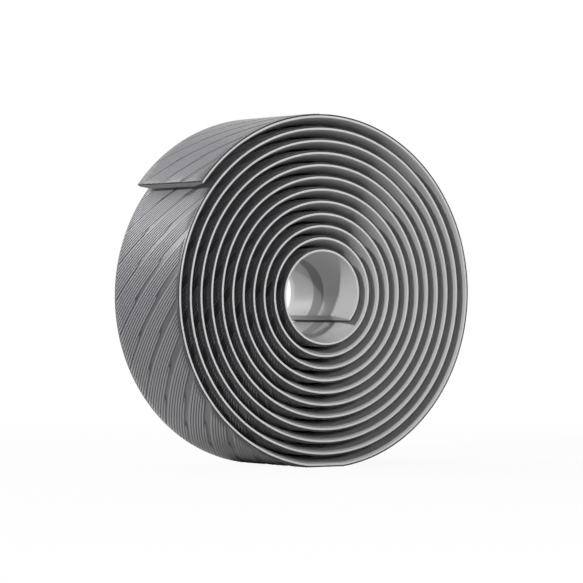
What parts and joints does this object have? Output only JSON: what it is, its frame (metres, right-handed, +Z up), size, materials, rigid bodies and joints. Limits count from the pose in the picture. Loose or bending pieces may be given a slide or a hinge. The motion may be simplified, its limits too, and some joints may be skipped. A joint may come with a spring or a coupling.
{
  "type": "handlebar tape roll",
  "caption": "Cushioned handlebar tape wound as an open, evenly spaced spiral roll, with a diagonally ribbed tread, square-cut ends and edges bevelled on the back.",
  "frame": {"origin": "on the ground under the middle of the roll's bounding box, where the tread of the outermost turn rests", "axes": "+Z up; the roll's axis along Y, with the face that shows the inner end at four o'clock towards -Y"},
  "size_m": [0.0904, 0.032, 0.0916],
  "materials": {
    "tape_skin": "matt embossed polyurethane with a faint satin sheen"
  },
  "bodies": {
    "root": {"tape_roll": "tape_skin"}
  },
  "joints": []
}
